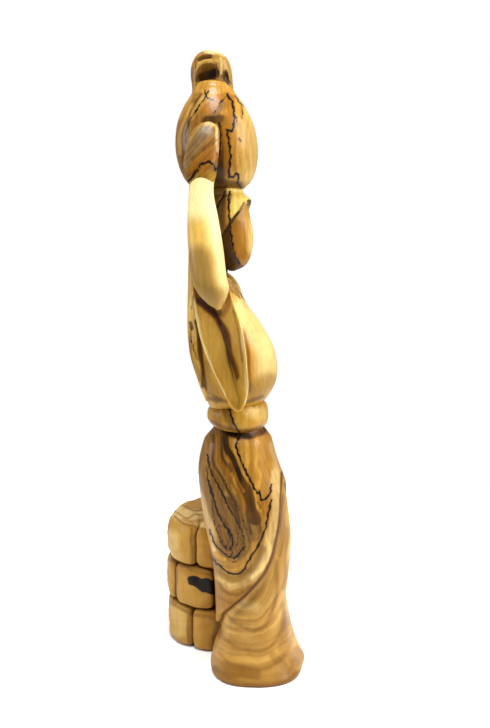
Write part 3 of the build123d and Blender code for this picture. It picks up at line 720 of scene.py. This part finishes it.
# Slot name: strength of rings and of streaks, gloss, pitch.
SLOTS = {
    "olive_jar": (0.32, 0.42, 0.2),
    "olive_hand": (0.5, 0.45, 0.3, 0.9),
    "olive_arm": (0.10, 0.25, 0.3),
    "olive_scarf": (0.4, 0.45, 0.3),
    "olive_face": (0.25, 0.35, 0.3),
    "olive_bodice": (0.14, 0.35, 0.3),
    "olive_sash": (0.25, 0.45, 0.3),
    "olive_skirt": (0.6, 0.5, 0.3, 0.6),
    "olive_hem": (0.5, 0.12, 0.36, 0.42),
    "olive_stone": (0.12, 0.25, 0.42, 0.3),
    "olive_core": (0.4, 0.3, 0.46, 0.5),
}
MATERIALS = {slot: olive_wood(slot, *looks) for slot, looks in SLOTS.items()}


# ---- skirts
SKIRT_ROWS = [
    (0, -24.6, 28.4, 33), (5, -23.2, 27.8, 31.2), (12, -20.3, 26.4, 28), (20, -18, 24.2, 26),
    (30, -15.9, 23.4, 24.6), (40, -14.7, 23.6, 24), (53, -16, 24.4, 23.8), (66, -17.1, 26, 24),
    (80, -17.6, 29, 24.2), (93, -16.1, 31.2, 24.4), (105, -12.8, 32.7, 24), (114, -9.2, 33.1, 23.2),
    (122, -6.5, 32.3, 21.9), (129, -4.6, 30.6, 20.2), (135, -3, 28.6, 18.2), (142, -1.5, 26, 16),
]
SKIRT_SQUARE = 2.25
SKIRT_AXIS = [(0, 0, 2.5), (50, 0, 5), (100, 0, 9.5), (150, 0, 13.5)]
WRAP_PROUD = 1.9            # how far the wrapped panel stands out from the hem
HOOD_PROUD = 2.8            # how far the scarf stands out from the face
TUCK = 2.4                  # how far a cloth's hidden part lies inside the piece below it


def inside_edge(points, edge):
    """Signed distance from an edge line, above 0 towards the figure's back."""
    flat = seen(near_side(points))
    line = curved(edge)
    order = np.argsort(line[:, 1])
    border = np.interp(flat[:, 1], line[order, 1], line[order, 0])
    return distance(flat, line) * np.sign(flat[:, 0] - border)


def pushed_out(points, amount, centre_rows):
    """Moves points level outwards from a centre line given as rows of (z, x, y)."""
    centre = follow(centre_rows, points[:, 2])
    away = points[:, :2] - centre
    away /= np.maximum(np.linalg.norm(away, axis=1), 1e-6)[:, None]
    moved = points.copy()
    moved[:, :2] += away * np.asarray(amount)[:, None]
    return moved


def gathered(z):
    """How far the skirts are drawn in under the sash."""
    return 3.0 * fade(z, 139, 131)


def sculpt_hem(points):
    z = points[:, 2]
    turn = np.arctan2(points[:, 1], points[:, 0])
    scoop = -2.0 * bump(inside_edge(points, SKIRT_EDGE), -3.5, 4.0) * fade(z, 75, 110)
    folds = 0.5 * np.sin(turn * 5 + 1.0) * fade(z, 4, 40)
    corner = 0.5 * bump(turn, -2.3, 0.5) * fade(z, 1, 9)
    return pushed_out(points, scoop + folds + corner - gathered(z), SKIRT_AXIS)


def sculpt_wrap(points):
    behind = inside_edge(points, SKIRT_EDGE)
    proud = fade(behind, 0.9, -0.7) * (WRAP_PROUD + TUCK) - TUCK
    return pushed_out(points, proud - gathered(points[:, 2]), SKIRT_AXIS)


hem_z = np.concatenate([[0.0, 0.5], np.linspace(1.4, 142, 190)])
hem_rows = [(0, -24.2, 27.8, 31.6), (0.9, -24.8, 28.4, 32.2)] + SKIRT_ROWS[1:]
hem = ring_grid(hem_rows, hem_z, 260, SKIRT_SQUARE)
piece("under_skirt", hem, "olive_hem", HEM, sculpt_hem)
wrap = ring_grid(SKIRT_ROWS, np.linspace(13, 141, 230), 280, SKIRT_SQUARE)
piece("over_skirt", wrap, "olive_skirt", SKIRT, sculpt_wrap)


# ---- waist sash
SASH_NOTCH = [(6.5, 151.2), (3.5, 149.8)]
SASH_AXIS = [(120, 0, 13), (170, 0, 13)]


def sash_grid():
    """Rings from the sash's lower edge to its upper one, both dipping towards the front."""
    angle = full_turn(200)
    rings = []
    for share in np.linspace(0, 1, 26):
        swell = np.sqrt(max(0.0, 1 - abs(2 * share - 1) ** 2.5))
        half_x = 15.5 + 5.2 * swell
        half_y = 12.2 + 4.8 * swell
        x = half_x * np.cos(angle)
        y = 13.0 + half_y * np.sin(angle)
        forward = (30 - y) / 34
        low = 140.2 - 2.6 * forward - 2.6 * forward * (1 - forward) * 2.2
        high = 151.0 + 2.6 * forward - 3.6 * forward * (1 - forward)
        rings.append(np.column_stack([x, y, low + share * (high - low)]))
    return np.array(rings)


def sculpt_sash(points):
    flat = seen(near_side(points))
    notch = -1.0 * bump(distance(flat, SASH_NOTCH), 0, 0.9)
    pucker = 0.12 * np.sin(flat[:, 0] * 0.9 + flat[:, 1] * 0.35)
    return pushed_out(points, notch + pucker, SASH_AXIS)


piece("waist_sash", sash_grid(), "olive_sash", SASH, sculpt_sash)


# ---- bodice, neck, head
BODICE_ROWS = [
    (147, 3.5, 27, 14.5), (150.5, 0.8, 29, 17), (154, -2.6, 30.4, 19), (158, -5.4, 31.4, 20.6),
    (163, -7.8, 32.5, 22.2), (169, -8.9, 33.2, 23.4), (175, -8.6, 34, 24.4),
    (184, -6.2, 34.7, 25.4), (192, -2, 35, 25.4), (199, 2.6, 34.8, 24.2), (205, 7.4, 34.4, 22),
    (211, 11.4, 33.8, 18), (216, 14.4, 33, 14.2), (221, 17.6, 31.4, 10),
]
piece("bodice", loft(BODICE_ROWS, 110, 220, 2.1), "olive_bodice", BODICE)

NECK_ROWS = [(208, 15.5, 34, 9), (216, 18.6, 33.5, 8), (224, 18.8, 33, 7.6), (234, 16.8, 32, 7.6)]
piece("neck", loft(NECK_ROWS, 30, 90), "olive_face", NECK)

HEAD_ROWS = [
    (225.3, 14, 18, 2.2), (226.4, 11.2, 20.5, 4.8), (228, 8.9, 23.5, 7.2), (231, 6.8, 28, 9.4),
    (235, 5.5, 32, 11), (241, 4.5, 34.6, 12), (247, 4.7, 35.6, 12.5), (253, 6, 36, 12.5),
    (259, 7.4, 35, 11.6), (264, 9.6, 32.6, 9.8), (268, 13.4, 29, 6.4),
]
piece("head", domed(loft(HEAD_ROWS, 90, 160, 2.05), 0.5, 0.6), "olive_face", HEAD)


# ---- scarf
HEAD_AXIS = [(225, 0, 17), (245, 0, 20), (268, 0, 22)]
HOOD_CREASE = [(20, 268), (23, 262), (26, 257), (29, 250)]


def sculpt_hood(points):
    behind = inside_edge(points, HOOD_EDGE)
    proud = fade(behind, 1.2, -0.8) * (HOOD_PROUD + TUCK) - TUCK
    lift = 0.7 * bump(behind, 1.6, 1.8)
    crease = -0.8 * bump(distance(seen(near_side(points)), curved(HOOD_CREASE)), 0, 0.9)
    return pushed_out(points, proud + lift + crease, HEAD_AXIS)


hood = ring_grid(HEAD_ROWS, np.linspace(228, 267.6, 120), 220, 2.05)
piece("head_scarf", domed(hood, 0, 1.0), "olive_scarf", SCARF, sculpt_hood)

VEIL_ROWS = [
    (153, 28, 31.2, 5), (156, 27, 32, 8), (161, 27, 33.8, 11), (169.5, 27, 36.4, 14.5),
    (178, 28, 38.4, 16.6), (190, 29, 39.6, 17.5), (208, 28, 39.9, 17.5), (220, 27, 39.9, 16.6),
    (235, 26.5, 40, 14.8), (247, 25.5, 39.8, 13.4), (258, 24.5, 39.4, 12.2), (266, 24, 38, 10.6),
]


def sculpt_veil(points):
    back = fade(points[:, 1], 38, 33)
    fold = 0.9 * np.cos(points[:, 0] * 0.62 + points[:, 2] * 0.012)
    fold = fold * fade(points[:, 2], 215, 250)
    return points + np.outer(back * (fold - 0.6), (0, 1, 0))


veil = loft(VEIL_ROWS, 130, 200, 2.5)
piece("back_veil", domed(veil, 1.0, 1.5), "olive_scarf", VEIL, sculpt_veil)


def cowl_grid():
    """A roll of cloth that goes once round the neck, low in front and high at the back."""
    rings = []
    turn = full_turn(28)
    for a in full_turn(150):
        back = (1 - np.cos(a)) / 2
        rise = 1 - np.exp(-5.5 * back)
        side = 14.0 * np.sin(a) * (0.7 + 0.3 * back)
        centre = np.array([side, 11.6 + 24.4 * back, 206.0 + 15.5 * rise])
        out = np.array([np.sin(a), -np.cos(a), 0.0])
        thick = np.outer(np.cos(turn) * (1.8 + 1.2 * rise), out)
        tall = np.outer(np.sin(turn) * (3.0 + 1.6 * rise), (0, 0, 1))
        rings.append(centre + thick + tall)
    return np.array(rings)


piece("scarf_cowl", cowl_grid(), "olive_scarf", FOLD, loop=True)

RING_ROWS = [
    (264.5, 11.4, 36.5, 11.6), (266.2, 10.2, 37.4, 12.9), (268.2, 10.2, 37.6, 13.2),
    (269.6, 11.2, 37, 12.6), (271.5, 12.6, 36, 11.4),
]
piece("head_ring", loft(RING_ROWS, 16, 140), "olive_scarf", SCARF)


# ---- water jar
ring_low, ring_high = cad("head_ring")
JAR_FORWARD = 0.3           # ahead of the middle of the ring on her head
JAR_RAISE = 0.8             # above the foot of the CAD jar
JAR_Y = (ring_low[1] + ring_high[1]) / 2 - JAR_FORWARD
JAR_Z = cad("jar_body")[0][2] + JAR_RAISE
JAR_LEAN = np.radians(3.2)
JAR_PROFILE = [
    (-1, 11.6), (0, 13.4), (1.2, 14.8), (3.6, 17.3), (8, 19.8), (15, 21.8), (23, 22.4), (30, 21.7),
    (35.5, 20.4), (41, 18), (45.4, 15.5), (49, 12.9), (51.5, 11.4), (54, 10.2), (56, 8.6),
    (57.2, 5),
]


def leaned(points):
    """Leans the jar towards the figure's back."""
    tall = points[:, 2] - JAR_Z
    moved = points.copy()
    moved[:, 1] += tall * np.sin(JAR_LEAN)
    moved[:, 2] = JAR_Z + tall * np.cos(JAR_LEAN)
    return moved


jar = loft(round_rows(JAR_PROFILE, JAR_Y, JAR_Z), 150, 260)
piece("jar_body", jar, "olive_jar", JAR, leaned)

TOP_ROWS = [
    (315.5, 12, 40.4, 11), (318, 14.2, 38.8, 9.4), (321, 15.2, 37.8, 8.6), (325, 15.7, 37.9, 8.4),
    (330, 16.1, 38.5, 8.6), (334, 16.8, 38.2, 8.4), (337.5, 18.2, 37, 8), (339.6, 19.8, 35.6, 7.4),
    (341.2, 22.6, 33.6, 6.2), (342.2, 26, 31, 4.2),
]
# The dents that stand for the openings under the handles, and the one in the lip.
BACK_SCOOP = [
    (36.4, 326), (35.4, 332), (32.6, 335.4), (28.5, 336.4), (25.2, 335.4), (23.9, 332), (23.7, 326),
]
FRONT_SCOOP = [(21.4, 327), (21, 330.5), (19.6, 333), (18, 331), (17.2, 326)]
LIP_SCOOP = [(34, 337.9), (31.5, 339), (28, 339.4)]
SCOOP_FOOT = 318


def under_arch(flat, arch, foot):
    """How far inside an arch each point lies, with the arch closed by a level foot."""
    line = curved(arch)
    order = np.argsort(line[:, 0])
    crown = np.interp(flat[:, 0], line[order, 0], line[order, 1], left=-1e3, right=-1e3)
    inside = (flat[:, 1] < crown) & (flat[:, 1] > foot)
    return distance(flat, line) * inside


def sculpt_top(points):
    flat = seen(near_side(points))
    wide = fade(np.abs(points[:, 0]), 5.0, 1.5)
    back = fade(under_arch(flat, BACK_SCOOP, SCOOP_FOOT), 3.4, 0.0)
    front = fade(under_arch(flat, FRONT_SCOOP, SCOOP_FOOT), 1.5, 0.0)
    scoop = 4.2 * back * fade(flat[:, 1], 329, 323.5)
    scoop += 2.0 * front * fade(flat[:, 1], 329, 324)
    scoop += 1.3 * fade(distance(flat, curved(LIP_SCOOP)), 0.2, 1.6)
    x, y, z = points.T
    dip = 2.2 * fade((x / 4.2) ** 2 + ((y - 28.6) / 4.8) ** 2, 0.0, 1.0) * fade(z, 342, 339)
    return np.column_stack([x - np.sign(x) * scoop * wide, y, z - dip])


top = loft(TOP_ROWS, 140, 260, 2.3)
jar_top_nodes = ["jar_neck", "jar_handle_front", "jar_handle_back"]
piece("jar_top", domed(top, 0, 0.3), "olive_jar", JAR_TOP, sculpt_top, jar_top_nodes)


# ---- raised right arm
def limb(rows, along, around=110, square=2.0):
    """Rings from rows of (station, y left, z left, y right, z right, x, half thickness)."""
    values = follow(rows, np.linspace(rows[0][0], rows[-1][0], along))
    c, s = squarish(full_turn(around), square)
    rings = []
    for y_left, z_left, y_right, z_right, x, thick in values:
        left, right = on_sight(y_left, z_left, x), on_sight(y_right, z_right, x)
        middle, half = (left + right) / 2, (right - left) / 2
        rings.append(middle + np.outer(c, half) + np.outer(s, (thick, 0, 0)))
    return np.array(rings)


ARM_ROWS = [
    (0, 38.8, 281, 27.2, 282, -31, 4.2), (1, 39.8, 275, 26, 276, -31.2, 5.6),
    (2, 40.2, 266, 26.4, 267, -33.5, 6.2), (3, 41, 252, 23.6, 252, -37.5, 7.4),
    (4, 40.6, 238, 21.3, 238, -41.5, 8.5), (5, 38.9, 222, 19.4, 222, -43.6, 9),
    (6, 36, 213.6, 18, 215, -44, 8.6), (7, 30.6, 207.4, 19.8, 209, -43.6, 6.8),
    (8, 25, 203.6, 22.2, 205, -42.8, 3.2),
]
HAND_ROWS = [
    (0, 40, 272, 26.2, 273, -31.5, 4.6), (1, 42, 277.5, 24.9, 278, -31.6, 5.8),
    (2, 43, 283, 24.1, 283.5, -31, 6), (3, 41.5, 290, 23.5, 290, -29.4, 5.9),
    (4, 39.7, 297, 23.1, 296.5, -27.4, 5.5), (5, 36.6, 302, 23.1, 300.7, -25.8, 4.6),
    (6, 33.2, 304.4, 24.4, 303.3, -25, 3.6), (7, 30.2, 305.2, 26.8, 304.8, -24.6, 2.2),
]
piece("right_hand", domed(limb(HAND_ROWS, 80, 150, 2.9), 0.5, 0.6), "olive_hand", HAND)
piece("right_forearm", domed(limb(ARM_ROWS, 130), 0.5, 0.8), "olive_arm", ARM)

# The sleeve's mouth is a leaf-shaped rim that falls away to a groove, on a slanting plane.
RIM_LEFT = [
    (38, 217), (38, 209.5), (36.5, 198), (34.5, 188), (31.5, 179), (28.5, 172), (25, 164.5),
    (21, 156.5), (18.5, 151), (16, 147.5), (13.6, 145.9),
]
RIM_RIGHT = [
    (11, 146.9), (8.7, 151), (7.4, 157), (7, 162), (7.5, 169.5), (8.5, 180.5), (10, 190),
    (11.6, 196), (13.6, 202), (16, 209.5), (18, 216.5),
]
GROOVE = [
    (12.2, 151.5), (12.4, 155), (13.2, 161), (15.4, 170.5), (18, 182), (20.4, 189.5), (22, 195),
    (24.6, 201), (27, 206),
]
MOUTH_CENTRE = np.array((20.0, 192.0))


def mouth_x(z):
    """Depth of the plane of the sleeve's mouth."""
    return -45.0 + (217.0 - z) * 0.27


def sleeve_grid():
    """Rings from the groove up to the rim, round its lip and back into the body."""
    left, right = curved(RIM_LEFT, 8), curved(RIM_RIGHT, 8)
    over = curved([RIM_RIGHT[-1], (22.0, 221.0), (28.0, 223.0), (34.0, 221.5), RIM_LEFT[0]], 10)
    rim = np.vstack([left, right, over[1:-1]])
    groove = np.array(GROOVE, float)
    g_z = np.clip(rim[:, 1], groove[0, 1], groove[-1, 1])
    valley = np.column_stack([np.interp(g_z, groove[:, 1], groove[:, 0]), g_z])
    span = np.linalg.norm(valley - rim, axis=1)
    deep = 3.4 + 3.4 * fade(rim[:, 1], 172, 147)
    rings = []
    for step in np.linspace(1, 0, 12):
        share = step * 0.995 + (1 - step) * np.minimum(2.4 / span, 0.9)
        flat = rim + (valley - rim) * share[:, None]
        depth = mouth_x(flat[:, 1]) + 1.9 + (deep - 1.9) * step**1.15
        rings.append(on_sight(*flat.T, depth))
    for into, depth in ((1.7, 0.9), (1.2, 0.25), (0.7, 0.0), (0.25, 0.2), (0.0, 0.8)):
        flat = rim + (valley - rim) * np.minimum(into / span, 0.8)[:, None]
        rings.append(on_sight(*flat.T, mouth_x(flat[:, 1]) + depth))
    for share in np.linspace(0.06, 1, 16):
        shrink = 1 - 0.2 * share**1.4
        flat = MOUTH_CENTRE + (rim - MOUTH_CENTRE) * shrink
        depth = (1 - share) * (mouth_x(rim[:, 1]) + 0.8) + share * -12.0
        rings.append(on_sight(*flat.T, depth))
    return np.array(rings)


piece("right_sleeve", sleeve_grid(), "olive_bodice", SLEEVE)


# ---- left arm, hand on the hip
def swept(points, radii, along, around, flat=1.0):
    """A limb round a smooth line through 3-D points, with a radius at each point."""
    rows = [(i, *p, r) for i, (p, r) in enumerate(zip(points, radii))]
    values = follow(rows, np.linspace(0, len(points) - 1, along))
    path, radius = values[:, :3], values[:, 3]
    ahead = np.gradient(path, axis=0)
    ahead /= np.linalg.norm(ahead, axis=1)[:, None]
    side = np.cross(ahead, (0.0, 0.35, 1.0))
    side /= np.linalg.norm(side, axis=1)[:, None]
    up = np.cross(side, ahead)
    turn = full_turn(around)
    return np.array([p + r * (np.outer(np.cos(turn) * flat, s) + np.outer(np.sin(turn), u))
                     for p, r, s, u in zip(path, radius, side, up)])


# Points of each limb's middle line, and the radius at each.
LEFT_SLEEVE = [
    (15, 21, 208), (24, 21, 203), (32, 23.5, 192), (38, 26.5, 179), (38.5, 23, 171),
    (35.5, 16, 166),
]
LEFT_FOREARM = [(38, 23, 174), (34.5, 15.5, 166), (30, 9.5, 161.5)]
LEFT_HAND = [(31, 12, 162.5), (28, 8.5, 158.5), (24.5, 5.5, 155.5), (20.5, 3.2, 153.5)]

sleeve = swept(LEFT_SLEEVE, (8, 9.5, 9.6, 9.4, 10, 9.6), 90, 120)
piece("left_sleeve", domed(sleeve, 2, 1), "olive_bodice", BODICE)
forearm = swept(LEFT_FOREARM, (6.5, 6.4, 5.6), 40, 80)
piece("left_forearm", domed(forearm, 1, 1), "olive_arm", ARM)
hand = swept(LEFT_HAND, (5.2, 6.2, 5.6, 3.2), 50, 90, 0.62)
piece("left_hand", domed(hand, 1, 1.5), "olive_arm", ARM)


# ---- well
core_low, core_high = cad("well_core")
WELL = ((core_low + core_high) / 2)[:2]
STONES = 7                  # in a course
COURSE_HEIGHT = 25.3
FIRST_JOINT = (155.0, 129.0, 160.0)     # degrees, for each course
WELL_RADIUS = 34.0
STONE_INNER = 21.0
SHOULDER_START = 22.0       # radius at which the top course starts to curve down
ROUNDING = 6.0              # power of the rounded box, higher for sharper edges
TOP_COURSE = 2
BLACK_COURSE = 1            # the one with the black patch
CORE_Y = 29.0


def stone_mesh():
    """A rounded box from -1 to 1 on each axis, as points and faces."""
    bm = bmesh.new()
    bmesh.ops.create_cube(bm, size=2.0)
    bmesh.ops.subdivide_edges(bm, edges=bm.edges[:], cuts=26, use_grid_fill=True)
    corners = np.array([v.co for v in bm.verts])
    faces = [[v.index for v in f.verts] for f in bm.faces]
    bm.free()
    corners = np.tan(corners * 0.7854)      # evens out the spacing of the points
    size = (np.abs(corners) ** ROUNDING).sum(1) ** (1 / ROUNDING)
    return corners / size[:, None], faces


unit_stone, stone_faces = stone_mesh()
for course in range(3):
    for number in range(STONES):
        middle = np.radians(FIRST_JOINT[course] + (number + 0.5) * 360 / STONES)
        radial, turn, tall = unit_stone.T
        belly = (1 - turn**2) * (1 - tall**2)
        reach = (WELL_RADIUS + STONE_INNER) / 2 + radial * (WELL_RADIUS - STONE_INNER) / 2
        reach = reach + np.clip(radial, 0, 1) * (0.9 * belly - 0.3)
        reach = reach + 0.35 * np.sin(7.1 * turn + number) * np.sin(5.3 * tall + course)
        angle = middle + turn * np.pi / STONES * 0.995
        z = COURSE_HEIGHT * (course + 0.5 + 0.497 * tall)
        if course == TOP_COURSE:
            shoulder = (reach - SHOULDER_START) / (WELL_RADIUS - SHOULDER_START)
            shoulder = np.clip(shoulder, 0, 1.1)
            z = z + np.clip(tall, 0, 1) * (4.6 - 10.0 * shoulder**1.9)
        z = np.maximum(z, 0.0)
        x = WELL[0] + reach * np.cos(angle)
        y = WELL[1] + reach * np.sin(angle)
        # Painted shade along the stone's edges, in the joints between stones, passed on as crease values.
        gap = 0.7 * np.maximum(fade(np.abs(turn), 1.0, 0.86), fade(np.abs(tall), 1.0, 0.84))
        if course == TOP_COURSE:
            gap = gap * fade(tall, 0.6, 0.9)
        node = f"well_stone_{course + 1}_{number + 1}"
        figure = BLACKENED if course == BLACK_COURSE else STONE
        stone = np.column_stack([x, y, z])
        finished(node, stone, stone_faces, [node], "olive_stone", figure, gap)


CORE_PROFILE = [
    (0.5, 24.5), (60, 24.5), (78.6, 24.4), (79.9, 23), (80.9, 19), (81.7, 13), (82, 6),
]
core_z = np.concatenate([np.linspace(0.5, 74, 12), np.linspace(75, 82, 24)])
core = ring_grid(round_rows(CORE_PROFILE, CORE_Y), core_z, 160)
core[..., 0] += WELL[0]
piece("well_core", core, "olive_core", WELL_TOP)


# ---- stage, light and camera
FLOOR_RADIUS = 0.46
FLOOR_Z = -0.0002           # just under the carving, so that the two do not share a plane
FLOOR_CORNERS = 96
AIM = Vector((0, 0.01, 0.2))


def white_floor():
    mesh = bpy.data.meshes.new("floor")
    turn = full_turn(FLOOR_CORNERS)
    z = np.full(FLOOR_CORNERS, FLOOR_Z)
    edge = np.column_stack([FLOOR_RADIUS * np.cos(turn), FLOOR_RADIUS * np.sin(turn), z])
    mesh.from_pydata(edge.tolist(), [], [list(range(FLOOR_CORNERS))])
    obj = placed("floor", mesh)
    material = bpy.data.materials.new("floor")
    material.use_nodes = True
    shader = material.node_tree.nodes["Principled BSDF"]
    shader.inputs["Base Color"].default_value = (1, 1, 1, 1)
    shader.inputs["Roughness"].default_value = 0.9
    mesh.materials.append(material)


def area_light(name, location, size, watts):
    data = bpy.data.lights.new(name, "AREA")
    data.shape = "DISK"
    data.size = size
    data.energy = watts
    obj = placed(name, data)
    obj.location = location
    obj.rotation_euler = (AIM - Vector(location)).to_track_quat("-Z", "Y").to_euler()


white_floor()
area_light("key", (-0.05, -1.0, 0.75), 0.80, 17.0)
area_light("top", (-0.30, 0.0, 1.25), 0.45, 17.0)
area_light("back rim", (-0.10, 1.1, 0.45), 0.5, 5.0)

# The room is white to the camera and dimmer as a source of light.
world = bpy.data.worlds.new("studio")
bpy.context.scene.world = world
world.use_nodes = True
nodes, links = world.node_tree.nodes, world.node_tree.links
backdrop = nodes["Background"]
backdrop.inputs["Color"].default_value = (1, 1, 1, 1)
sight = nodes.new("ShaderNodeLightPath").outputs["Is Camera Ray"]
level = nodes.new("ShaderNodeMapRange")
level.inputs["To Min"].default_value = AMBIENT
level.inputs["To Max"].default_value = 1.0
links.new(sight, level.inputs["Value"])
links.new(level.outputs["Result"], backdrop.inputs["Strength"])
bpy.context.scene.view_settings.view_transform = "Standard"

camera_data = bpy.data.cameras.new("camera")
camera_data.lens = LENS
camera_data.sensor_width = SENSOR
camera = placed("camera", camera_data)
camera.location = Vector(EYE.tolist()) * MM
camera.rotation_euler = SIGHT.to_track_quat("-Z", "Y").to_euler()
bpy.context.scene.camera = camera

bpy.context.view_layer.update()
